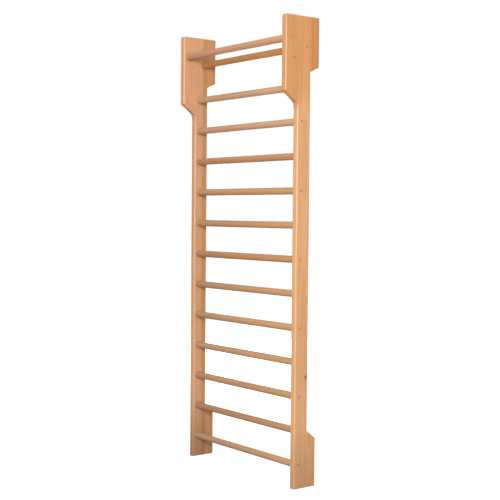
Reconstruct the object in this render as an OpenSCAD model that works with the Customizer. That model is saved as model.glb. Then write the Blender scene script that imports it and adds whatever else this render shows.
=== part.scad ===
// Wooden wall bars: two glued-up side panels joined by round wooden rungs.
// X runs along the rungs, +Y points to the wall, +Z is up. The feet stand on z = 0.

/* [Frame] */
// Height of the side panels
frame_h = 2300; // [1900:10:2800]
// Width over both side panels
frame_w = 900; // [600:10:1100]
// Thickness of the boards in each side panel
board_t = 34; // [28:1:42]
// Depth of each upright from front to back
upright_d = 80; // [66:1:100]

/* [Head and foot blocks] */
// How far the front head block stands out in front of the upright
front_block_d = 76; // [62:1:95]
// Height of the front head block along its front edge
front_block_h = 365; // [320:5:440]
// Drop of the front head block's sloped underside
front_slope_h = 54; // [30:1:80]
// Radius of the hollow where that slope runs into the upright
hollow_r = 50; // [20:1:60]
// Thickness left at the tip of the front head block, below the hollow
tip_t = 0.8; // [0.5:0.1:2]
// How far the rear blocks hold the uprights off the wall
standoff_d = 54; // [40:1:70]
// Height of the rear head block along the wall
rear_block_h = 241; // [220:1:300]
// Drop of the rear head block's sloped underside
rear_slope_h = 25; // [10:1:40]
// Height of the foot block along the wall
foot_block_h = 240; // [220:2:300]
// Rise of the foot block's sloped top
foot_slope_h = 41; // [10:1:60]

/* [Rounded edges] */
// Radius worked along the front edges and over the head
round_r = 8; // [3:0.5:10]
// Radius worked along the rear edges
ease_r = 3; // [1:0.5:4]
// Radius of the head's front top corner, seen from the side
corner_r = 12; // [11:1:24]

/* [Rungs] */
// Diameter of the rungs and of both top bars
rung_dia = 35; // [28:1:42]
// Number of evenly spaced rungs
rung_count = 12; // [8:1:13]
// Height of the lowest rung's axis
first_rung_z = 117; // [90:1:140]
// Distance from the rear top bar down to the highest rung, axis to axis
top_gap = 193.5; // [160:0.5:220]
// Distance from the upright's front face back to the rung axes
rung_inset = 28; // [24:1:34]
// Depth of the blind sockets that hold the rung ends
socket_depth = 18; // [14:1:20]
// Small chamfer on the rung ends
end_chamfer = 1; // [0.5:0.5:2]
// Glue gap around a rung end in its socket
glue_gap = 0.1; // [0.05:0.05:0.3]

/* [Top bars] */
// Distance from the top of the frame down to the front top bar's axis
front_bar_drop = 111; // [90:1:140]
// Distance from the head's front face back to the front top bar's axis
front_bar_inset = 28; // [24:1:34]
// Distance from the top of the frame down to the rear top bar's axis
rear_bar_drop = 147; // [140:1:180]
// Distance from the upright's back face forward to the rear top bar's axis
rear_bar_inset = 24; // [22:1:30]

/* [Screws and plugs] */
// Diameter of the screw shank and thread
screw_dia = 5; // [4:0.5:6]
// Length of the screw from the top of its head to its tip
screw_len = 60; // [40:5:80]
// Diameter of the screw head
head_dia = 10; // [8:0.5:12]
// Height of the countersunk screw head
head_h = 3; // [2:0.5:4]
// Diameter of the wooden plug over each screw
plug_dia = 15; // [12:1:20]
// Thickness of the plug
plug_t = 6; // [4:0.5:8]
// Chamfer on the plug's outer edge
plug_chamfer = 0.4; // [0.2:0.1:0.8]
// Clearance around plugs and screws in their holes
hole_gap = 0.1; // [0.05:0.05:0.3]

/* [Dowels] */
// Diameter of the dowels between the blocks and the upright
dowel_dia = 10; // [8:1:12]
// Length of each dowel, half of it on each side of the joint
dowel_len = 50; // [30:2:60]
// Glue gap around a dowel and at its ends
dowel_gap = 0.1; // [0.05:0.05:0.3]
// Chamfer on the dowel ends
dowel_chamfer = 1; // [0.5:0.5:2]

/* [Wall sleeves] */
// Tapping diameter of the wall sleeves' thread, for M8 bolts
sleeve_bore_dia = 6.8; // [6.8:0.1:8.5]
// Outside diameter of a wall sleeve's body
sleeve_dia = 12; // [11:0.5:16]
// Diameter of the sleeve's flange
flange_dia = 16; // [15:0.5:22]
// Thickness of the flange
flange_t = 1.5; // [1:0.5:3]
// Length of a wall sleeve with its flange
sleeve_len = 20; // [14:1:25]
// Diameter of the two blind holes in the flange for a pin spanner
pin_dia = 2; // [1.5:0.1:2.5]
// Depth of those holes
pin_depth = 1; // [0.5:0.1:1.2]
// Depth of the hole behind the sleeve, room for the bolt's end
bolt_room = 6; // [2:1:10]
// Distance from the top of the frame down to the upper wall sleeves
upper_sleeve_drop = 135; // [120:1:150]
// Height of the lower wall sleeves above the floor
lower_sleeve_z = 120; // [100:1:140]

/* [Hidden] */
$fn = 96;
eps = 0.01;
over = 1;
arc_bite = 0.1;

panel_d = front_block_d + upright_d + standoff_d;
front_y = -panel_d / 2;
wall_y = panel_d / 2;
upright_y = front_y + front_block_d;
back_y = upright_y + upright_d;
inner_x = frame_w / 2 - board_t;
outer_x = frame_w / 2;
mid_x = outer_x - board_t / 2;

front_block_z = frame_h - front_block_h;
rear_block_z = frame_h - rear_block_h;

rung_r = rung_dia / 2;
rung_len = frame_w - 2 * board_t + 2 * socket_depth;
rung_y = upright_y + rung_inset;
front_bar_y = front_y + front_bar_inset;
front_bar_z = frame_h - front_bar_drop;
rear_bar_y = back_y - rear_bar_inset;
rear_bar_z = frame_h - rear_bar_drop;
rung_pitch = (rear_bar_z - top_gap - first_rung_z) / (rung_count - 1);
pin_r = (sleeve_bore_dia + flange_dia) / 4;

// Every second rung, and both top bars, are screwed as well as glued.
function rung_z(i) = first_rung_z + (i - 1) * rung_pitch;
function is_screwed(i) = i % 2 == 1;
RUNG_SEATS = [for (i = [1:rung_count]) [rung_y, rung_z(i)]];
FRONT_BAR_SEAT = [front_bar_y, front_bar_z];
REAR_BAR_SEAT = [rear_bar_y, rear_bar_z];
SCREWED_RUNG_SEATS = [for (i = [1:rung_count]) if (is_screwed(i)) [rung_y, rung_z(i)]];
SCREW_SEATS = concat(SCREWED_RUNG_SEATS, [FRONT_BAR_SEAT, REAR_BAR_SEAT]);

// Dowel heights, kept clear of the rung sockets.
front_dowels = [for (drop = [60, 190, 290]) frame_h - drop];
rear_dowels = [for (drop = [60, 210]) frame_h - drop];
foot_dowels = [50, 190];
SLEEVE_SEATS = [frame_h - upper_sleeve_drop, lower_sleeve_z];

// The hollow under the front head block is an arc around hollow_c. It touches the slope and
// ends at the block's tip, straight below the arc's last point.
slope_angle = atan2(front_slope_h, front_block_d);
tip_y = upright_y - tip_t;
slope_at_tip_z = front_block_z - (tip_y - front_y) * tan(slope_angle);
hollow_reach = hollow_r * tan((90 - slope_angle) / 2);
hollow_c = [tip_y - hollow_r, slope_at_tip_z - hollow_reach];
hollow_start = hollow_c + hollow_r * [sin(slope_angle), cos(slope_angle)];
tip = [tip_y, hollow_c[1]];
corner_c = [front_y + corner_r, frame_h - corner_r];

LEFT_AND_RIGHT = ["left", "right"];
PANEL_NODES = ["upright", "front_head_block", "rear_head_block", "foot_block", "block_dowels",
               "rung_screws", "screw_plugs", "wall_sleeves"];

upright_colour = [0.87, 0.68, 0.47];
block_colour = [0.84, 0.63, 0.42];
rung_colour = [0.80, 0.58, 0.38];
plug_colour = [0.74, 0.53, 0.33];
steel_colour = [0.75, 0.76, 0.78];
sleeve_colour = [0.80, 0.70, 0.42];

// ---- Helpers ----

// Draws the right-hand panel's piece as it is, and mirrors it for the left-hand panel.
module on_side(side) {
    if (side == "right") children();
    else mirror([1, 0, 0]) children();
}

// Extrudes a side view, drawn as [y, z], through the board's thickness.
module board() {
    translate([inner_x, 0, 0]) rotate([90, 0, 90]) linear_extrude(board_t) children();
}

// The sliver removed from a board's edge to round it: x from the board's middle, y into the wood.
// The arc is a hair larger than the rounding, so it meets both faces at a clean line.
module edge_sliver(r) {
    difference() {
        translate([board_t / 2 - r, -over]) square([r + over, r + over]);
        translate([board_t / 2 - r, r]) circle(r + arc_bite);
    }
}

// Both edges of a board.
module both_edges() {
    for (m = [0, 1]) translate([mid_x, 0, 0]) mirror([m, 0, 0]) children();
}

// Rounding cutter along the straight edge from a to b, both [y, z], with the wood on the left.
// It runs on past a and b by the two spare lengths, so that it meets the next edge in a mitre.
module round_edge(a, b, r, spare_a, spare_b) {
    along = b - a;
    both_edges()
        translate([0, b[0], b[1]])
            rotate([atan2(along[0], -along[1]), 0, 0])
                translate([0, 0, -spare_b])
                    linear_extrude(norm(along) + spare_a + spare_b) edge_sliver(r);
}

// Rounding cutter around an arc, from angle a0 over the given sweep. The wood is inside the arc
// of a corner, and outside the arc of a hollow.
module round_arc(centre, arc_r, a0, sweep, r, hollow = false) {
    both_edges()
        translate([0, centre[0], centre[1]])
            rotate([90, 0, 90]) rotate([0, 0, a0])
                rotate_extrude(angle = sweep)
                    translate([arc_r, 0]) mirror([hollow ? 0 : 1, 0])
                        mirror([1, -1]) edge_sliver(r);
}

// The rounding along the front of a whole panel: upright, hollow, slope, front, corner and top.
module front_rounding() {
    mitre = 2 * round_r;
    round_edge([upright_y, tip[1]], [upright_y, 0], round_r, 0, over);
    round_arc(hollow_c, hollow_r, 0, 90 - slope_angle, round_r, hollow = true);
    round_edge([front_y, front_block_z], hollow_start, round_r, mitre, 0);
    round_edge([front_y, corner_c[1]], [front_y, front_block_z], round_r, 0, mitre);
    round_arc(corner_c, corner_r, 90, 90, round_r);
    round_edge([wall_y, frame_h], [corner_c[0], frame_h], round_r, over, 0);
}

// A hole or a peg along X through the right-hand panel, at seat = [y, z].
module along_x(seat, x0, x1, r) {
    translate([x0, seat[0], seat[1]]) rotate([0, 90, 0]) cylinder(r = r, h = x1 - x0);
}

// Blind sockets for rung ends.
module sockets(seats) {
    for (seat = seats) along_x(seat, inner_x - over, inner_x + socket_depth, rung_r + glue_gap);
}

// Plug hole, countersink and clearance hole of each screw.
module screw_holes(seats) {
    head_x = outer_x - plug_t;
    for (seat = seats) {
        along_x(seat, head_x, outer_x + over, plug_dia / 2 + hole_gap);
        along_x(seat, inner_x, head_x + eps, screw_dia / 2 + hole_gap);
        translate([head_x - head_h, seat[0], seat[1]]) rotate([0, 90, 0])
            cylinder(r1 = screw_dia / 2 + hole_gap, r2 = head_dia / 2 + hole_gap, h = head_h + eps);
    }
}

// A plain dowel with chamfered ends, centred on the joint at y.
module dowel(y, z, grow = 0) {
    r = dowel_dia / 2 + grow;
    half = dowel_len / 2 + grow;
    c = grow > 0 ? 0 : dowel_chamfer;
    translate([mid_x, y, z]) rotate([-90, 0, 0]) rotate_extrude()
        polygon([[0, -half], [r - c, -half], [r, c - half], [r, half - c], [r - c, half], [0, half]]);
}

module dowels(y, heights, grow = 0) {
    for (z = heights) dowel(y, z, grow);
}

// The hole in the wall face for a wall sleeve, its flange and the bolt's end.
module sleeve_holes(heights) {
    for (z = heights) translate([mid_x, wall_y, z]) rotate([90, 0, 0]) {
        translate([0, 0, -over]) cylinder(r = flange_dia / 2 + hole_gap, h = flange_t + over);
        cylinder(r = sleeve_dia / 2 + hole_gap, h = sleeve_len + bolt_room);
    }
}

// ---- Side panels ----

module upright() {
    color(upright_colour) difference() {
        board() translate([upright_y, 0]) square([upright_d, frame_h]);
        front_rounding();
        round_edge([back_y, foot_block_h + foot_slope_h], [back_y, rear_block_z - rear_slope_h],
                   ease_r, 0, 0);
        sockets(concat(RUNG_SEATS, [REAR_BAR_SEAT]));
        screw_holes(concat(SCREWED_RUNG_SEATS, [REAR_BAR_SEAT]));
        dowels(upright_y, front_dowels, dowel_gap);
        dowels(back_y, concat(rear_dowels, foot_dowels), dowel_gap);
    }
}

// Side view of the front head block, as [y, z].
module front_block_outline() {
    difference() {
        polygon([[upright_y, tip[1]], [upright_y, frame_h], [corner_c[0], frame_h], corner_c,
                 [front_y, corner_c[1]], [front_y, front_block_z], [tip_y, slope_at_tip_z], tip]);
        translate(hollow_c) circle(hollow_r);
    }
    intersection() {
        translate(corner_c) circle(corner_r);
        translate([front_y, corner_c[1]]) square(corner_r);
    }
}

module front_head_block() {
    color(block_colour) difference() {
        board() front_block_outline();
        front_rounding();
        sockets([FRONT_BAR_SEAT]);
        screw_holes([FRONT_BAR_SEAT]);
        dowels(upright_y, front_dowels, dowel_gap);
    }
}

module rear_head_block() {
    low = rear_block_z - rear_slope_h;
    mitre = 2 * ease_r;
    color(block_colour) difference() {
        board() polygon([[back_y, low], [wall_y, rear_block_z], [wall_y, frame_h], [back_y, frame_h]]);
        front_rounding();
        round_edge([back_y, low], [wall_y, rear_block_z], ease_r, over, mitre);
        round_edge([wall_y, rear_block_z], [wall_y, frame_h], ease_r, mitre, over);
        dowels(back_y, rear_dowels, dowel_gap);
        sleeve_holes([SLEEVE_SEATS[0]]);
    }
}

module foot_block() {
    high = foot_block_h + foot_slope_h;
    mitre = 2 * ease_r;
    color(block_colour) difference() {
        board() polygon([[back_y, 0], [wall_y, 0], [wall_y, foot_block_h], [back_y, high]]);
        round_edge([wall_y, foot_block_h], [back_y, high], ease_r, mitre, over);
        round_edge([wall_y, 0], [wall_y, foot_block_h], ease_r, over, mitre);
        dowels(back_y, foot_dowels, dowel_gap);
        sleeve_holes([SLEEVE_SEATS[1]]);
    }
}

module block_dowels() {
    color(plug_colour) {
        dowels(upright_y, front_dowels);
        dowels(back_y, concat(rear_dowels, foot_dowels));
    }
}

// Countersunk wood screw lying along X, its head under the plug and its tip in the rung's end.
module wood_screw(seat) {
    head_x = outer_x - plug_t;
    tip_h = screw_dia;
    shank_len = screw_len - head_h - tip_h;
    translate([head_x, seat[0], seat[1]]) rotate([0, -90, 0]) difference() {
        union() {
            cylinder(r1 = head_dia / 2, r2 = screw_dia / 2, h = head_h);
            translate([0, 0, head_h - eps]) cylinder(r = screw_dia / 2, h = shank_len + eps);
            translate([0, 0, head_h + shank_len - eps])
                cylinder(r1 = screw_dia / 2, r2 = screw_dia / 8, h = tip_h);
        }
        translate([0, 0, -over]) cylinder(r = head_dia / 4, h = head_h / 2 + over, $fn = 6);
    }
}

module rung_screws() {
    color(steel_colour) for (seat = SCREW_SEATS) wood_screw(seat);
}

module screw_plugs() {
    color(plug_colour) for (seat = SCREW_SEATS)
        translate([outer_x - plug_t, seat[0], seat[1]]) rotate([0, 90, 0]) {
            cylinder(r = plug_dia / 2, h = plug_t - plug_chamfer);
            translate([0, 0, plug_t - plug_chamfer - eps])
                cylinder(r1 = plug_dia / 2, r2 = plug_dia / 2 - plug_chamfer, h = plug_chamfer + eps);
        }
}

// Threaded sleeve, its flange set flush in the wall face with two holes for a pin spanner.
module wall_sleeve(z) {
    translate([mid_x, wall_y, z]) rotate([90, 0, 0]) difference() {
        union() {
            cylinder(r = flange_dia / 2, h = flange_t);
            cylinder(r = sleeve_dia / 2, h = sleeve_len);
        }
        translate([0, 0, -over]) cylinder(r = sleeve_bore_dia / 2, h = sleeve_len + 2 * over);
        for (x = [-pin_r, pin_r])
            translate([x, 0, -over]) cylinder(r = pin_dia / 2, h = pin_depth + over);
    }
}

module wall_sleeves() {
    color(sleeve_colour) for (z = SLEEVE_SEATS) wall_sleeve(z);
}

// ---- Rungs ----

// One round bar with chamfered ends, drilled at both ends where screws hold it.
module bar(seat, screwed) {
    half = rung_len / 2;
    pilot_x = outer_x - plug_t - screw_len - over;
    color(rung_colour) translate([0, seat[0], seat[1]]) difference() {
        rotate([0, 90, 0]) rotate_extrude() polygon([
            [0, -half], [rung_r - end_chamfer, -half], [rung_r, end_chamfer - half],
            [rung_r, half - end_chamfer], [rung_r - end_chamfer, half], [0, half]
        ]);
        if (screwed) for (m = [0, 1]) mirror([m, 0, 0]) translate([pilot_x, 0, 0])
            rotate([0, 90, 0]) cylinder(r = screw_dia / 2 + hole_gap, h = half - pilot_x + over);
    }
}

// ---- Assembly ----

for (side = LEFT_AND_RIGHT) {
    on_side(side) upright();
    on_side(side) front_head_block();
    on_side(side) rear_head_block();
    on_side(side) foot_block();
    on_side(side) block_dowels();
    on_side(side) rung_screws();
    on_side(side) screw_plugs();
    on_side(side) wall_sleeves();
}
for (i = [1:rung_count])
    bar(RUNG_SEATS[i - 1], is_screwed(i));
bar(FRONT_BAR_SEAT, true);  // front_top_bar
bar(REAR_BAR_SEAT, true);  // rear_top_bar
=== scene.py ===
import math

import bmesh
import bpy
from mathutils import Euler, Matrix, Vector


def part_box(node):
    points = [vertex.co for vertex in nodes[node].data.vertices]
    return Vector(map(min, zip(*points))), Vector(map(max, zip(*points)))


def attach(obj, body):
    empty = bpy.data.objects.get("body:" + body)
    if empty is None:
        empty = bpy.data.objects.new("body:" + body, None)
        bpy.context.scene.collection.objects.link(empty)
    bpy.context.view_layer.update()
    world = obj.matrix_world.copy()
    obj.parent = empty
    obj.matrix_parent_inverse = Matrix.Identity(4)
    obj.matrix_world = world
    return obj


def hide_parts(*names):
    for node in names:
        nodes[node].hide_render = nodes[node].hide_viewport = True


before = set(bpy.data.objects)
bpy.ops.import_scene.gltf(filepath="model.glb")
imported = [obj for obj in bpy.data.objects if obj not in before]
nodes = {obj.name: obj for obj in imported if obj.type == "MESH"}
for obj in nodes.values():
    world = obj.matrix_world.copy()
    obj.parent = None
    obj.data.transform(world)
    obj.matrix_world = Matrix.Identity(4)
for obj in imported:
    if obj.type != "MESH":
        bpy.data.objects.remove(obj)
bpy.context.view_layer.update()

# Wall bars: two glued-up pine side panels, twelve beech rungs and two top bars.
# X runs along the rungs, +Y points to the wall, +Z is up, all in metres.
sides = ("left", "right")
bars = [name for name in sorted(nodes) if name.startswith("rung_") or name.endswith("top_bar")]
quarterTurn = math.radians(90)
smoothAngle = math.radians(38)
# how near counts as the same place, the same radius and the same angle
mergeReach = 1e-6
sameLength = 1e-5
sameAngle = 0.05
ringsPerTurn = 6        # of a screw thread
bpy.ops.object.select_all(action="DESELECT")
print("frame loaded:", len(nodes), "nodes")

cameraLook = {
    "place": (4.3143, -3.2921, 1.3456),
    "yaw": 52.35,       # degrees, turned left from looking along +Y
    "pitch": -2.01,
    "roll": 0.49,
    "lens": 75.28,
    "sensor": 36,
}


def makeCamera(look):
    bpy.ops.object.camera_add()
    camera = bpy.context.object
    camera.name = "camera"
    aim = Euler((math.radians(90 + look["pitch"]), 0, math.radians(look["yaw"])))
    turn = Matrix.Rotation(math.radians(look["roll"]), 4, "Z")
    camera.matrix_world = Matrix.Translation(look["place"]) @ aim.to_matrix().to_4x4() @ turn
    camera.data.sensor_width = look["sensor"]
    camera.data.lens = look["lens"]
    bpy.context.scene.camera = camera


makeCamera(cameraLook)
print("camera placed")


def selectOnly(piece):
    bpy.ops.object.select_all(action="DESELECT")
    piece.select_set(True)
    bpy.context.view_layer.objects.active = piece


def pickVertices(piece, wanted):
    # in edit mode, selects the vertices that wanted(place) says yes to
    bpy.ops.mesh.select_mode(type="VERT")
    form = bmesh.from_edit_mesh(piece.data)
    for corner in form.verts:
        corner.select = wanted(corner.co)
    form.select_flush(True)
    form.select_flush(False)
    bmesh.update_edit_mesh(piece.data)


def solidBoxes(node):
    # the lowest and highest corner of each separate solid in a node
    form = bmesh.new()
    form.from_mesh(nodes[node].data)
    bmesh.ops.remove_doubles(form, verts=form.verts, dist=mergeReach)
    unseen, boxes = set(form.verts), []
    while unseen:
        edge = [unseen.pop()]
        places = []
        while edge:
            corner = edge.pop()
            places.append(corner.co.copy())
            near = {link.other_vert(corner) for link in corner.link_edges} & unseen
            unseen -= near
            edge.extend(near)
        boxes.append((Vector(map(min, zip(*places))), Vector(map(max, zip(*places)))))
    form.free()
    return sorted(boxes, key=lambda box: tuple(round(value, 4) for value in box[0]))


def turnPiece(name, profile, count, closed=False):
    # turned on a lathe: each (radius, height) of the profile is a ring round the Z axis
    # closed joins the last ring to the first, otherwise both ends are capped
    radius, height = profile[0]
    bpy.ops.mesh.primitive_circle_add(vertices=count, radius=radius, location=(0, 0, height))
    piece = bpy.context.object
    piece.name = name
    bpy.ops.object.transform_apply(location=True, rotation=True, scale=True)
    bpy.ops.object.mode_set(mode="EDIT")
    bpy.ops.mesh.select_all(action="SELECT")
    for nextRadius, nextHeight in profile[1:]:
        bpy.ops.mesh.extrude_edges_move(
            TRANSFORM_OT_translate={"value": (0, 0, nextHeight - height)})
        growth = nextRadius / radius
        bpy.ops.transform.resize(value=(growth, growth, 1), center_override=(0, 0, nextHeight))
        radius, height = nextRadius, nextHeight
    bpy.ops.mesh.select_all(action="SELECT")
    if closed:
        bpy.ops.mesh.remove_doubles(threshold=mergeReach)
    else:
        bpy.ops.mesh.fill_holes(sides=0)
    bpy.ops.mesh.select_all(action="SELECT")
    bpy.ops.mesh.normals_make_consistent(inside=False)
    bpy.ops.object.mode_set(mode="OBJECT")
    return piece


def threadRun(low, high, radius, pitch):
    # evenly spaced rings for a thread, from low to high
    count = round(abs(high - low) / pitch * ringsPerTurn)
    return [(radius, low + (high - low) * i / count) for i in range(count + 1)]


def cutThread(piece, low, high, crest, root, pitch, runOut):
    # moves the rings between low and high in and out along a helix, fading over runOut at each end
    for corner in piece.data.vertices:
        x, y, z = corner.co
        radius = math.hypot(x, y)
        if not (low < z < high and abs(radius - crest) < sameLength):
            continue
        turn = (z / pitch - math.atan2(y, x) / (2 * math.pi)) % 1
        depth = abs(2 * turn - 1)
        fade = min(1, (z - low) / runOut, (high - z) / runOut)
        grown = (radius + (root - crest) * depth * fade) / radius
        corner.co.x, corner.co.y = x * grown, y * grown


def copyTo(piece, name, places, turn):
    # one modelled piece, copied to every place and joined, with its own place in the mesh
    made = []
    for place in places:
        selectOnly(piece)
        bpy.ops.object.duplicate()
        copied = bpy.context.object
        copied.rotation_euler = turn
        copied.location = place
        made.append(copied)
    selectOnly(made[0])
    for copied in made:
        copied.select_set(True)
    bpy.ops.object.transform_apply(location=True, rotation=True, scale=True)
    if len(made) > 1:
        bpy.ops.object.join()
    joined = bpy.context.object
    bpy.context.scene.cursor.location = (0, 0, 0)
    bpy.ops.object.origin_set(type="ORIGIN_CURSOR")
    joined.name = name
    bpy.ops.object.shade_smooth_by_angle(angle=smoothAngle)
    return joined


def finishPiece(piece, material, slot, *stoodFor):
    piece.data.materials.clear()
    piece.data.materials.append(material)
    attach(piece, "root")
    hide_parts(*stoodFor)


def addNode(tree, kind, **settings):
    node = tree.nodes.new(kind)
    for name, value in settings.items():
        setattr(node, name, value)
    return node


def feed(tree, socket, value):
    # a socket is linked, anything else is the socket's own value
    if isinstance(value, bpy.types.NodeSocket):
        tree.links.new(value, socket)
    else:
        socket.default_value = value


def calc(tree, operation, *values):
    node = addNode(tree, "ShaderNodeMath", operation=operation)
    for socket, value in zip(node.inputs, values):
        feed(tree, socket, value)
    return node.outputs[0]


def vectorCalc(tree, operation, *values):
    node = addNode(tree, "ShaderNodeVectorMath", operation=operation)
    for socket, value in zip(node.inputs, values):
        feed(tree, socket, value)
    return node.outputs["Value" if operation == "LENGTH" else "Vector"]


def scaleColour(tree, colour, factor):
    node = addNode(tree, "ShaderNodeVectorMath", operation="SCALE")
    feed(tree, node.inputs[0], colour)
    feed(tree, node.inputs["Scale"], factor)
    return node.outputs["Vector"]


def remap(tree, value, fromLow, fromHigh, toLow, toHigh, kind="SMOOTHSTEP"):
    node = addNode(tree, "ShaderNodeMapRange", interpolation_type=kind)
    for socket, given in zip(node.inputs, (value, fromLow, fromHigh, toLow, toHigh)):
        feed(tree, socket, given)
    return node.outputs[0]


def noise(tree, vector, stretch, detail, roughness=0.5):
    node = addNode(tree, "ShaderNodeTexNoise", noise_dimensions="3D")
    feed(tree, node.inputs["Vector"], vectorCalc(tree, "MULTIPLY", vector, stretch))
    node.inputs["Scale"].default_value = 1.0
    node.inputs["Detail"].default_value = detail
    node.inputs["Roughness"].default_value = roughness
    return node.outputs[0]


def blendColours(tree, factor, first, second):
    node = addNode(tree, "ShaderNodeMix", data_type="RGBA", blend_type="MIX")
    feed(tree, node.inputs[0], factor)
    feed(tree, node.inputs[6], first)
    feed(tree, node.inputs[7], second)
    return node.outputs[2]


def startGroup(name, inputs, outputs):
    group = bpy.data.node_groups.new(name, "ShaderNodeTree")
    for label, kind in inputs:
        group.interface.new_socket(label, in_out="INPUT", socket_type="NodeSocket" + kind)
    for label, kind in outputs:
        group.interface.new_socket(label, in_out="OUTPUT", socket_type="NodeSocket" + kind)
    return group, addNode(group, "NodeGroupInput").outputs, addNode(group, "NodeGroupOutput").inputs


def useGroup(tree, group, **values):
    node = addNode(tree, "ShaderNodeGroup", node_tree=group)
    for label, value in values.items():
        feed(tree, node.inputs[label], value)
    return node.outputs


def startMaterial(name):
    material = bpy.data.materials.new(name)
    material.use_nodes = True
    tree = material.node_tree
    return material, tree, tree.nodes["Principled BSDF"]


def raiseSurface(tree, shader, height, strength, distance):
    bump = addNode(tree, "ShaderNodeBump")
    bump.inputs["Strength"].default_value = strength
    bump.inputs["Distance"].default_value = distance
    feed(tree, bump.inputs["Height"], height)
    feed(tree, shader.inputs["Normal"], bump.outputs[0])


# Noise stretches are in cells a metre, across the grain twice and then along it.
figureLook = {
    "slow": (6.0, 6.0, 1.0),
    "ripple": (55.0, 55.0, 4.0),
    "rippleDepth": 0.0012,
    # soft edge of the painted shadow strip round the heart line
    "shadowStripEdge": 0.003,
    "lateStart": 0.30,      # shares of a year's growth
    "lateEnd": 0.90,
    "fibre": (650.0, 650.0, 8.0),
    "fleck": (1300.0, 1300.0, 130.0),
    "fleckRange": (0.62, 0.74),
    "cloud": (12.0, 12.0, 2.0),
}


def makeFigureGroup(look):
    # the vector is a place in the log: the heart is the Z axis, and the grain runs along Z
    group, given, made = startGroup(
        "woodFigure",
        [("Vector", "Vector"), ("Ring", "Float"), ("Wander", "Float"), ("Swell", "Float"),
         ("Heart", "Float")],
        [("Late", "Float"), ("Year", "Float"), ("Fibre", "Float"), ("Fleck", "Float"),
         ("Cloud", "Float"), ("Heartwood", "Float")],
    )
    place = given["Vector"]
    # slow wander of the whole ring pattern, then a finer ripple on it
    slow = calc(group, "SUBTRACT", noise(group, place, look["slow"], 1.0), 0.5)
    ripple = calc(group, "SUBTRACT", noise(group, place, look["ripple"], 2.0), 0.5)
    radius = vectorCalc(group, "LENGTH", vectorCalc(group, "MULTIPLY", place, (1.0, 1.0, 0.0)))
    radius = calc(group, "ADD", radius, calc(group, "MULTIPLY", slow, given["Wander"]))
    radius = calc(group, "ADD", radius, calc(group, "MULTIPLY", ripple, look["rippleDepth"]))
    # a painted shadow strip: everything nearer the heart line than the given radius
    pastHeart = calc(group, "SUBTRACT", radius, given["Heart"])
    feed(group, made["Heartwood"],
         remap(group, pastHeart, -look["shadowStripEdge"], look["shadowStripEdge"], 1.0, 0.0))
    years = calc(group, "DIVIDE", calc(group, "ADD", radius, given["Swell"]), given["Ring"])
    within = calc(group, "FRACT", years)
    # late wood darkens slowly and ends at a crisp line
    rise = remap(group, within, look["lateStart"], look["lateEnd"], 0.0, 1.0)
    fall = remap(group, within, look["lateEnd"], 1.0, 1.0, 0.0)
    feed(group, made["Late"], calc(group, "MULTIPLY", rise, fall))
    year = addNode(group, "ShaderNodeTexWhiteNoise", noise_dimensions="1D")
    feed(group, year.inputs["W"], calc(group, "FLOOR", years))
    feed(group, made["Year"], year.outputs["Value"])
    # long fibres, short dark flecks and slow clouds of tone
    feed(group, made["Fibre"], noise(group, place, look["fibre"], 3.0, 0.65))
    fleck = noise(group, place, look["fleck"], 1.0)
    feed(group, made["Fleck"], remap(group, fleck, *look["fleckRange"], 0.0, 1.0))
    feed(group, made["Cloud"], noise(group, place, look["cloud"], 2.0))
    return group


# The ranges of core, halo and bend are distances from the middle in knot radii.
knotLook = {
    "squash": (1.0, 1.0, 0.62),         # leaves the knot longer along the grain
    "rag": (260.0, 260.0, 160.0),
    "ragRange": (0.75, 1.25),
    "core": (0.75, 1.05),
    "halo": (0.9, 2.6),
    "bend": (0.5, 5.0),
    "bendDepth": 0.009,
}


def makeKnotGroup(look):
    # Swell bends the rings round the knot, Core is its dark wood, Halo the resin round it
    group, given, made = startGroup(
        "knot",
        [("Vector", "Vector"), ("Place", "Vector"), ("Radius", "Float")],
        [("Swell", "Float"), ("Core", "Float"), ("Halo", "Float")],
    )
    away = vectorCalc(group, "SUBTRACT", given["Vector"], given["Place"])
    away = vectorCalc(group, "MULTIPLY", away, look["squash"])
    ragged = remap(group, noise(group, given["Vector"], look["rag"], 1.0),
                   0.0, 1.0, *look["ragRange"], "LINEAR")
    reach = calc(group, "DIVIDE", vectorCalc(group, "LENGTH", away), given["Radius"])
    reach = calc(group, "MULTIPLY", reach, ragged)
    feed(group, made["Core"], remap(group, reach, *look["core"], 1.0, 0.0))
    feed(group, made["Halo"], remap(group, reach, *look["halo"], 1.0, 0.0))
    bend = remap(group, reach, *look["bend"], 1.0, 0.0)
    feed(group, made["Swell"], calc(group, "MULTIPLY", bend, look["bendDepth"]))
    return group


figureGroup = makeFigureGroup(figureLook)
knotGroup = makeKnotGroup(knotLook)
print("wood figure groups made")

pine = {
    "early": (0.660, 0.352, 0.172, 1.0),
    "late": (0.520, 0.240, 0.092, 1.0),
    "lateShare": 0.42,
    "yearShare": 0.05,
    "fibreShare": 0.10,
    "fleckShare": 0.08,
    "cloudShare": 0.045,
    "ring": 0.0042,
    "wander": 0.022,
    "roughness": 0.42,
    "bump": 0.00012,
}
beech = {
    "early": (0.510, 0.262, 0.125, 1.0),
    "late": (0.400, 0.185, 0.075, 1.0),
    "lateShare": 0.30,
    "yearShare": 0.05,
    "fibreShare": 0.13,
    "fleckShare": 0.32,
    "cloudShare": 0.05,
    "ring": 0.0031,
    "wander": 0.014,
    "roughness": 0.38,
    "bump": 0.00010,
}
woodFinish = {
    # colour scale of the painted shadow strip
    "shadowStripTint": (0.88, 0.77, 0.58),
    "knot": (0.17, 0.065, 0.024, 1.0),
    "resin": (0.50, 0.20, 0.065, 1.0),
    "resinShare": 0.6,
    "smoother": 0.05,       # how far the fibres move the roughness, down and up
    "rougher": 0.09,
    "latePolish": 0.08,
    "specular": 0.45,
    "coat": 0.08,
    "coatRoughness": 0.35,
    "lateRelief": 0.35,
    "fleckRelief": 0.5,
    "bumpStrength": 0.5,
}
grainTurns = {"X": (0.0, quarterTurn, 0.0), "Z": (0.0, 0.0, 0.0)}
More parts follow.
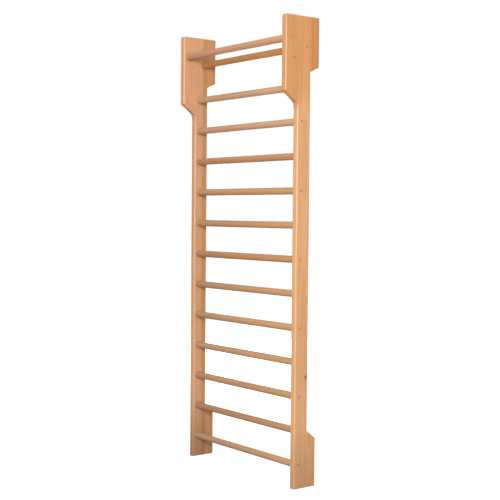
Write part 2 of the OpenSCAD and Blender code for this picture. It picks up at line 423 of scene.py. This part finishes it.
# heights on the wood: where the painted shade towards the floor ends, and where the crown's tone
# comes in
floorShadeReach = 0.40
crownReach = (1.80, 2.02)


def makeWood(name, wood, grain, middle, tint, heart=0.0, floor=1.0, crown=(1, 1, 1), knots=()):
    # middle is the log's heart line, heart the radius of a painted shadow strip round it
    material, tree, shader = startMaterial(name)
    own = addNode(tree, "ShaderNodeTexCoord").outputs["Object"]
    inLog = addNode(tree, "ShaderNodeMapping")
    feed(tree, inLog.inputs["Vector"], vectorCalc(tree, "SUBTRACT", own, middle))
    inLog.inputs["Rotation"].default_value = grainTurns[grain]
    swell, core, halo = 0.0, 0.0, 0.0
    for place, radius, dark in knots:
        knot = useGroup(tree, knotGroup, Vector=own, Place=place, Radius=radius)
        swell = calc(tree, "ADD", swell, knot["Swell"])
        core = calc(tree, "MAXIMUM", core, calc(tree, "MULTIPLY", knot["Core"], dark))
        halo = calc(tree, "MAXIMUM", halo, knot["Halo"])
    figure = useGroup(tree, figureGroup, Vector=inLog.outputs[0], Ring=wood["ring"],
                      Wander=wood["wander"], Swell=swell, Heart=heart)
    late = calc(tree, "MULTIPLY", figure["Late"], wood["lateShare"])
    colour = blendColours(tree, late, wood["early"], wood["late"])
    flecks = calc(tree, "MULTIPLY", figure["Fleck"], wood["fleckShare"])
    colour = blendColours(tree, flecks, colour, wood["late"])
    if knots:
        resin = calc(tree, "MULTIPLY", halo, woodFinish["resinShare"])
        colour = blendColours(tree, resin, colour, woodFinish["resin"])
        colour = blendColours(tree, core, colour, woodFinish["knot"])
    shade = 1.0
    for part, low, high in (("Year", 0.0, 1.0), ("Fibre", 0.25, 0.75), ("Cloud", 0.3, 0.7)):
        share = wood[part.lower() + "Share"]
        shade = calc(tree, "MULTIPLY", shade,
                     remap(tree, figure[part], low, high, 1 - share, 1 + share, "LINEAR"))
    colour = vectorCalc(tree, "MULTIPLY", scaleColour(tree, colour, shade), tint)
    # painted shadow: the strip round the heart line is darkened
    shadowStripColour = vectorCalc(tree, "MULTIPLY", colour, woodFinish["shadowStripTint"])
    colour = blendColours(tree, figure["Heartwood"], colour, shadowStripColour)
    # painted shade: darker towards the floor, by the floor factor at z = 0 and fading out up to the
    # reach; then the crown's warmer tone up at the head
    if floor < 1:
        apart = addNode(tree, "ShaderNodeSeparateXYZ")
        feed(tree, apart.inputs[0], own)
        up = apart.outputs["Z"]
        colour = scaleColour(tree, colour, remap(tree, up, 0.0, floorShadeReach, floor, 1.0))
        crowned = vectorCalc(tree, "MULTIPLY", colour, crown)
        colour = blendColours(tree, remap(tree, up, *crownReach, 0.0, 1.0), colour, crowned)
    feed(tree, shader.inputs["Base Color"], colour)
    rough = remap(tree, figure["Fibre"], 0.2, 0.8, wood["roughness"] - woodFinish["smoother"],
                  wood["roughness"] + woodFinish["rougher"])
    polish = calc(tree, "MULTIPLY", late, woodFinish["latePolish"])
    feed(tree, shader.inputs["Roughness"], calc(tree, "SUBTRACT", rough, polish))
    shader.inputs["Specular IOR Level"].default_value = woodFinish["specular"]
    shader.inputs["Coat Weight"].default_value = woodFinish["coat"]
    shader.inputs["Coat Roughness"].default_value = woodFinish["coatRoughness"]
    height = calc(tree, "MULTIPLY", figure["Late"], woodFinish["lateRelief"])
    height = calc(tree, "ADD", height, figure["Fibre"])
    dips = calc(tree, "MULTIPLY", figure["Fleck"], woodFinish["fleckRelief"])
    height = calc(tree, "SUBTRACT", height, dips)
    raiseSurface(tree, shader, height, woodFinish["bumpStrength"], wood["bump"])
    return material


def coatNode(name, material):
    nodes[name].data.materials.clear()
    nodes[name].data.materials.append(material)


# Each board comes from its own part of a log, so it has its own heart line and tone.
# "away" is the heart line from the board's middle, outwards and towards the wall, "heart" the
# radius round it that is darkened as a painted shadow strip. "floor" is how dark the painted
# shade towards the floor gets at z = 0, and "crown" the warmer tone up at the head.
plainBoard = {"heart": 0.0, "floor": 1.0, "crown": (1, 1, 1)}
boardLooks = {
    "right_upright": {"away": (-0.095, 0.006), "tint": (1.0, 1.0, 0.98), "floor": 0.74,
                      "crown": (0.94, 0.84, 0.71)},
    # the left upright's heart line lies towards the wall, so its painted shadow strip runs down the
    # board's rear
    "left_upright": {"away": (0.020, 0.094), "tint": (0.88, 0.89, 0.94), "floor": 0.62,
                     "heart": 0.090},
    "right_front_head_block": {"away": (-0.070, -0.015), "tint": (0.89, 0.80, 0.68)},
    "left_front_head_block": {"away": (-0.075, -0.010), "tint": (0.91, 0.87, 0.93)},
    "right_rear_head_block": {"away": (0.085, 0.020), "tint": (0.83, 0.66, 0.44)},
    "left_rear_head_block": {"away": (0.080, 0.015), "tint": (0.83, 0.73, 0.64)},
    "right_foot_block": {"away": (0.100, -0.010), "tint": (0.95, 0.91, 0.88), "floor": 0.80},
    "left_foot_block": {"away": (0.095, -0.012), "tint": (0.90, 0.86, 0.82), "floor": 0.70},
}
# the plugs get the same painted shade towards the floor
plugLook = {"away": (-0.05, 0.02), "tint": (1.02, 0.90, 0.74), "floor": 0.78}
uprightKnots = {
    "right": [{"up": 0.545, "fromBack": 0.011, "radius": 0.0055, "dark": 1.0}],
    "left": [{"up": 1.310, "fromBack": 0.022, "radius": 0.0040, "dark": 1.0}],
}
headKnots = {
    "right": [{"down": 0.205, "fromFront": 0.053, "radius": 0.0034, "dark": 0.45}],
    "left": [],
}


def outward(side):
    return 1 if side == "right" else -1


def placeKnots(side, node):
    low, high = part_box(node)
    outerX = high.x if side == "right" else low.x
    placed = []
    if node.endswith("_upright"):
        for knot in uprightKnots[side]:
            place = (outerX, high.y - knot["fromBack"], low.z + knot["up"])
            placed.append((place, knot["radius"], knot["dark"]))
    if node.endswith("_front_head_block"):
        for knot in headKnots[side]:
            place = (outerX, low.y + knot["fromFront"], high.z - knot["down"])
            placed.append((place, knot["radius"], knot["dark"]))
    return placed


def coatBoards():
    for node, given in boardLooks.items():
        side = node.split("_")[0]
        look = {**plainBoard, **given}
        low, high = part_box(node)
        awayX, awayY = look["away"]
        middle = (low + high) / 2 + Vector((awayX * outward(side), awayY, 0))
        wood = makeWood(node + "_pine", pine, "Z", (middle.x, middle.y, 0), look["tint"],
                        look["heart"], look["floor"], look["crown"], placeKnots(side, node))
        coatNode(node, wood)


def coatPlugs():
    for side in sides:
        low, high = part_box(side + "_screw_plugs")
        awayX, awayY = plugLook["away"]
        middle = ((low.x + high.x) / 2 + awayX * outward(side), high.y + awayY, 0)
        wood = makeWood(side + "_plug_beech", beech, "Z", middle, plugLook["tint"],
                        floor=plugLook["floor"])
        coatNode(side + "_screw_plugs", wood)


coatBoards()
coatPlugs()
print("boards and plugs coated")

rungShape = {
    "sides": 64,
    "rim": 0.001,           # rounding on the ends
    "rimSteps": 3,
    "pilotRadius": 0.0026,  # drilled for the screw
    "pilotDepth": 0.051,
}
plainRungTint = (0.97, 1.01, 1.0)
rungTints = {
    "front_top_bar": (1.05, 1.04, 1.20),
    "rear_top_bar": (1.02, 0.89, 0.52),
    "rung_12": (1.06, 1.18, 1.40),
    "rung_11": (1.04, 1.12, 1.32),
    "rung_10": (0.94, 0.86, 0.76),
    "rung_7": (0.90, 0.83, 0.72),
    "rung_6": (0.92, 0.95, 0.94),
    "rung_3": (0.90, 0.94, 0.86),
    "rung_2": (0.80, 0.84, 0.83),
    "rung_1": (0.88, 0.98, 1.10),
}
# where each rung's heart line is: apart along X, and stepping away from the rung's own middle
rungLog = {"along": 0.31, "behind": 0.030, "behindStep": 0.004, "under": 0.035, "underStep": 0.006}


def findRungHeart(index, centre, log):
    behind = log["behind"] - log["behindStep"] * (index % 5)
    under = log["under"] - log["underStep"] * (index % 4)
    heart = centre + Vector((0, behind, -under))
    return (log["along"] * index, heart.y, heart.z)


def makeBar(node, shape):
    low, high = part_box(node)
    centre = (low + high) / 2
    half, radius, rim = (high.x - low.x) / 2, (high.z - low.z) / 2, shape["rim"]
    steps = [quarterTurn * i / shape["rimSteps"] for i in range(shape["rimSteps"] + 1)]
    end = [(radius - rim + rim * math.sin(a), half - rim + rim * math.cos(a)) for a in steps]
    pilot = [(shape["pilotRadius"], half - shape["pilotDepth"]), (shape["pilotRadius"], half)]
    profile = pilot + end
    profile += [(r, -z) for r, z in reversed(profile)]
    bar = turnPiece(node + "_blank", profile, shape["sides"])
    made = copyTo(bar, node + "_turned", [centre], (0, quarterTurn, 0))
    bpy.data.objects.remove(bar)
    return made


for index, node in enumerate(bars):
    low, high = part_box(node)
    heartLine = findRungHeart(index, (low + high) / 2, rungLog)
    wood = makeWood(node + "_beech", beech, "X", heartLine, rungTints.get(node, plainRungTint))
    finishPiece(makeBar(node, rungShape), wood, "rung_wood", node)
print("rungs and top bars turned:", len(bars))

metalFinish = {
    "stainGrain": (220.0, 220.0, 220.0),
    "stainRange": (0.40, 0.70),
    "smoother": 0.06,       # how far the scratches move the roughness, down and up
    "rougher": 0.10,
    "stainRoughness": 0.25,
    "bumpStrength": 0.35,
    "bump": 0.00002,
}
zincSteel = {
    "clean": (0.66, 0.66, 0.64, 1.0),
    "stain": (0.52, 0.47, 0.34, 1.0),
    "share": 0.55,
    "roughness": 0.30,
    "lay": (5200.0, 420.0, 420.0),
}
brass = {
    "clean": (0.83, 0.62, 0.27, 1.0),
    "stain": (0.45, 0.30, 0.13, 1.0),
    "share": 0.50,
    "roughness": 0.26,
    "lay": (420.0, 5200.0, 420.0),
}


def makeWearGroup(look):
    # Tarnish is a slow stain, Scratch a fine turned lay round the axis
    group, given, made = startGroup(
        "metalWear",
        [("Vector", "Vector"), ("Lay", "Vector")],
        [("Tarnish", "Float"), ("Scratch", "Float")],
    )
    stain = noise(group, given["Vector"], look["stainGrain"], 3.0)
    feed(group, made["Tarnish"], remap(group, stain, *look["stainRange"], 0.0, 1.0))
    lay = vectorCalc(group, "MULTIPLY", given["Vector"], given["Lay"])
    feed(group, made["Scratch"], noise(group, lay, (1.0, 1.0, 1.0), 2.0))
    return group


wearGroup = makeWearGroup(metalFinish)


def makeMetal(name, metal):
    material, tree, shader = startMaterial(name)
    own = addNode(tree, "ShaderNodeTexCoord").outputs["Object"]
    wear = useGroup(tree, wearGroup, Vector=own, Lay=metal["lay"])
    stain = calc(tree, "MULTIPLY", wear["Tarnish"], metal["share"])
    colour = blendColours(tree, stain, metal["clean"], metal["stain"])
    feed(tree, shader.inputs["Base Color"], colour)
    shader.inputs["Metallic"].default_value = 1.0
    rough = remap(tree, wear["Scratch"], 0.3, 0.7, metal["roughness"] - metalFinish["smoother"],
                  metal["roughness"] + metalFinish["rougher"])
    dull = calc(tree, "MULTIPLY", stain, metalFinish["stainRoughness"])
    feed(tree, shader.inputs["Roughness"], calc(tree, "ADD", rough, dull))
    raiseSurface(tree, shader, wear["Scratch"], metalFinish["bumpStrength"], metalFinish["bump"])
    return material


screwShape = {
    "sides": 24,
    "headRadius": 0.0050,
    "headHeight": 0.0030,
    "rimDrop": 0.0003,
    "rimIn": 0.0002,
    "crest": 0.0025,
    "root": 0.0017,
    "pitch": 0.0025,
    "tipHeight": 0.0060,
    "tipRadius": 0.0003,
    "recessRadius": 0.0023,
    "recessDepth": 0.0019,
    "lobes": 6,
    "lobeDip": 0.74,
}


def makeScrew(length, shape):
    # drawn head up, with the top of the head at z = 0
    neck, tip = -shape["headHeight"], -length
    crest, head, recess = shape["crest"], shape["headRadius"], shape["recessRadius"]
    thread = threadRun(tip + shape["tipHeight"], neck - crest, crest, shape["pitch"])
    profile = [(shape["tipRadius"], tip)] + thread + [(crest, neck)]
    profile += [(head, -shape["rimDrop"]), (head - shape["rimIn"], 0.0)]
    profile += [(recess, 0.0), (recess, -shape["recessDepth"])]
    screw = turnPiece("screw_blank", profile, shape["sides"])
    cutThread(screw, tip + shape["tipHeight"], neck - crest, crest, shape["root"], shape["pitch"],
              shape["pitch"])
    # the driving recess is a star: dips between its lobes
    selectOnly(screw)
    bpy.ops.object.mode_set(mode="EDIT")
    lobeAngle = 2 * math.pi / shape["lobes"]

    def betweenLobes(place):
        atRecess = abs(math.hypot(place.x, place.y) - recess) < sameLength
        nearTop = place.z > -2 * shape["recessDepth"]
        fromMiddle = abs(math.atan2(place.y, place.x) % lobeAngle - lobeAngle / 2)
        return atRecess and nearTop and fromMiddle < sameAngle

    pickVertices(screw, betweenLobes)
    dip = shape["lobeDip"]
    bpy.ops.transform.resize(value=(dip, dip, 1), center_override=(0, 0, 0))
    bpy.ops.object.mode_set(mode="OBJECT")
    return screw


zincMaterial = makeMetal("zinc_steel", zincSteel)
for side in sides:
    node = side + "_rung_screws"
    boxes = solidBoxes(node)
    low, high = boxes[0]
    screw = makeScrew(high.x - low.x, screwShape)
    heads = [Vector((h.x if side == "right" else l.x, (l.y + h.y) / 2, (l.z + h.z) / 2))
             for l, h in boxes]
    made = copyTo(screw, side + "_threaded_screws", heads, (0, quarterTurn * outward(side), 0))
    bpy.data.objects.remove(screw)
    finishPiece(made, zincMaterial, "screw_steel", node)
print("screws threaded")

dowelShape = {"flutes": 10, "sidesPerFlute": 4, "fluteDip": 0.90, "rim": 0.001, "capShare": 0.45,
              "sideShare": 0.6}
dowelLook = {"heart": (0.4, 0.02), "tint": (1.05, 1.05, 1.02)}


def makeDowel(length, radius, shape):
    half, rim = length / 2, shape["rim"]
    profile = [(radius * shape["capShare"], half), (radius - rim, half), (radius, half - rim)]
    profile += [(r, -z) for r, z in reversed(profile)]
    dowel = turnPiece("dowel_blank", profile, shape["flutes"] * shape["sidesPerFlute"])
    selectOnly(dowel)
    bpy.ops.object.mode_set(mode="EDIT")
    fluteAngle = 2 * math.pi / shape["flutes"]

    def inFlute(place):
        onSide = math.hypot(place.x, place.y) > radius * shape["sideShare"]
        fromMiddle = abs(math.atan2(place.y, place.x) % fluteAngle - fluteAngle / 2)
        return onSide and fromMiddle < sameAngle

    pickVertices(dowel, inFlute)
    dip = shape["fluteDip"]
    bpy.ops.transform.resize(value=(dip, dip, 1), center_override=(0, 0, 0))
    bpy.ops.object.mode_set(mode="OBJECT")
    return dowel


for side in sides:
    node = side + "_block_dowels"
    boxes = solidBoxes(node)
    low, high = boxes[0]
    dowel = makeDowel(high.y - low.y, (high.x - low.x) / 2, dowelShape)
    middles = [(l + h) / 2 for l, h in boxes]
    made = copyTo(dowel, side + "_fluted_dowels", middles, (quarterTurn, 0, 0))
    bpy.data.objects.remove(dowel)
    heartX, heartY = dowelLook["heart"]
    wood = makeWood(side + "_dowel_beech", beech, "Z", (heartX * outward(side), heartY, 0),
                    dowelLook["tint"])
    finishPiece(made, wood, "dowel_wood", node)
print("dowels fluted")

sleeveShape = {
    "sides": 36,
    "flangeHeight": 0.0015,
    "bodyRadius": 0.0060,
    "bodyRoot": 0.0048,
    "bodyPitch": 0.0025,
    "boreRadius": 0.0034,
    "boreRoot": 0.0040,
    "borePitch": 0.00125,
    "rim": 0.0003,
    "pinRadius": 0.0010,
    "pinDepth": 0.0010,
    "pinSides": 20,
}


def makeSleeve(length, flange, shape):
    # drawn with the flange up, its face at z = 0
    bore, body, rim, bottom = shape["boreRadius"], shape["bodyRadius"], shape["rim"], -length
    collar = -shape["flangeHeight"]
    inside = threadRun(-2 * rim, bottom + rim, bore, shape["borePitch"])
    outside = threadRun(bottom + rim, collar - rim, body, shape["bodyPitch"])
    profile = [(bore + rim, -rim)] + inside + [(bore + rim, bottom), (body - rim, bottom)] + outside
    profile += [(body, collar), (flange, collar), (flange, -rim), (flange - rim, 0.0)]
    profile += [(bore + 2 * rim, 0.0)]
    sleeve = turnPiece("sleeve_blank", profile + profile[:1], shape["sides"], closed=True)
    cutThread(sleeve, bottom + rim, -2 * rim, bore, shape["boreRoot"], shape["borePitch"],
              shape["borePitch"])
    cutThread(sleeve, bottom + rim, collar - rim, body, shape["bodyRoot"], shape["bodyPitch"],
              shape["bodyPitch"])
    # two blind holes in the flange for a pin spanner
    for turn in (-1, 1):
        pinPlace = (turn * (bore + flange) / 2, 0, 0)
        bpy.ops.mesh.primitive_cylinder_add(vertices=shape["pinSides"], radius=shape["pinRadius"],
                                            depth=2 * shape["pinDepth"], location=pinPlace)
        drill = bpy.context.object
        selectOnly(sleeve)
        cut = sleeve.modifiers.new("pinHole", "BOOLEAN")
        cut.operation, cut.solver, cut.object = "DIFFERENCE", "EXACT", drill
        bpy.ops.object.modifier_apply(modifier=cut.name)
        bpy.data.objects.remove(drill)
    return sleeve


brassMaterial = makeMetal("sleeve_brass", brass)
for side in sides:
    node = side + "_wall_sleeves"
    boxes = solidBoxes(node)
    low, high = boxes[0]
    sleeve = makeSleeve(high.y - low.y, (high.x - low.x) / 2, sleeveShape)
    mouths = [Vector(((l.x + h.x) / 2, h.y, (l.z + h.z) / 2)) for l, h in boxes]
    made = copyTo(sleeve, side + "_threaded_sleeves", mouths, (-quarterTurn, 0, 0))
    bpy.data.objects.remove(sleeve)
    finishPiece(made, brassMaterial, "sleeve_brass", node)
print("wall sleeves threaded")

floorLook = {
    "size": 30.0,
    "bounce": (0.42, 0.42, 0.42, 1.0),
    "seen": (0.95, 0.95, 0.95, 1.0),
    "lift": 0.60,
    "roughness": 0.9,
}
lamps = {
    "keyLamp": {"place": (4.6, -4.3, 2.5), "aim": (0, 0, 1.3), "size": 2.4, "power": 430},
    "topLamp": {"place": (0.5, -0.9, 4.3), "aim": (0, 0, 1.2), "size": 1.4, "power": 12},
    "backLamp": {"place": (-4.4, 3.7, 1.1), "aim": (0, 0, 1.2), "size": 2.6, "power": 85},
}
skyLook = {"above": 0.55, "below": 0.16, "fade": (-0.3, 0.6)}


def makeFloor(look):
    bpy.ops.mesh.primitive_plane_add(size=look["size"])
    floor = bpy.context.object
    floor.name = "floor"
    material, tree, shader = startMaterial("pale_floor")
    shader.inputs["Roughness"].default_value = look["roughness"]
    shader.inputs["Specular IOR Level"].default_value = 0.0
    # paler to the camera than to the light it throws back on the wood
    seen = addNode(tree, "ShaderNodeLightPath").outputs["Is Camera Ray"]
    feed(tree, shader.inputs["Base Color"], blendColours(tree, seen, look["bounce"], look["seen"]))
    shader.inputs["Emission Color"].default_value = (1, 1, 1, 1)
    feed(tree, shader.inputs["Emission Strength"], calc(tree, "MULTIPLY", seen, look["lift"]))
    floor.data.materials.append(material)


def makeLamp(name, look):
    bpy.ops.object.light_add(type="AREA", location=look["place"])
    lamp = bpy.context.object
    lamp.name = name
    lamp.data.shape = "DISK"
    lamp.data.size = look["size"]
    lamp.data.energy = look["power"]
    beam = Vector(look["aim"]) - Vector(look["place"])
    lamp.rotation_euler = beam.to_track_quat("-Z", "Y").to_euler()


def makeSky(look):
    # white to the camera, brighter above than below to everything else
    world = bpy.data.worlds.new("studio")
    bpy.context.scene.world = world
    world.use_nodes = True
    tree = world.node_tree
    background = tree.nodes["Background"]
    background.inputs["Color"].default_value = (1, 1, 1, 1)
    direction = addNode(tree, "ShaderNodeSeparateXYZ")
    feed(tree, direction.inputs[0], addNode(tree, "ShaderNodeTexCoord").outputs["Generated"])
    strength = remap(tree, direction.outputs["Z"], *look["fade"], look["below"], look["above"])
    seen = addNode(tree, "ShaderNodeLightPath").outputs["Is Camera Ray"]
    feed(tree, background.inputs["Strength"], calc(tree, "MAXIMUM", strength, seen))


makeFloor(floorLook)
for name, look in lamps.items():
    makeLamp(name, look)
makeSky(skyLook)
bpy.context.scene.view_settings.view_transform = "Standard"
print("floor and lamps placed")
